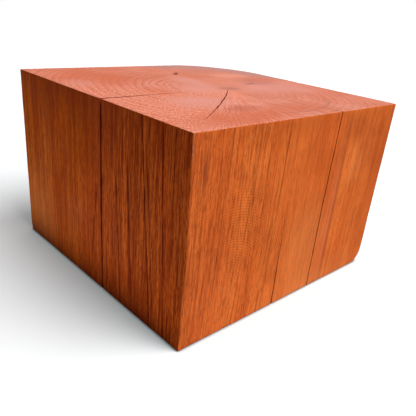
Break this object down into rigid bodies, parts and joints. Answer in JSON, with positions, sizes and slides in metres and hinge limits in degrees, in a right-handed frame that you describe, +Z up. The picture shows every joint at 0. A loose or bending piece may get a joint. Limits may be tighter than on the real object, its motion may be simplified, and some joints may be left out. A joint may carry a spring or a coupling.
{
  "type": "wood block",
  "caption": "Squared block of reddish hardwood with a boxed heart, standing on its end grain, with drying checks and a waned back corner; a plain support or riser.",
  "frame": {"origin": "middle of the underside, on the surface that the block rests on", "axes": "+Z up along the grain, +X across the width of the right-hand face, +Y away from the right-hand face"},
  "size_m": [0.151, 0.15, 0.1],
  "materials": {
    "wood": "sawn and sanded, satin oiled"
  },
  "bodies": {
    "root": {"wood_block": "wood"}
  },
  "joints": []
}
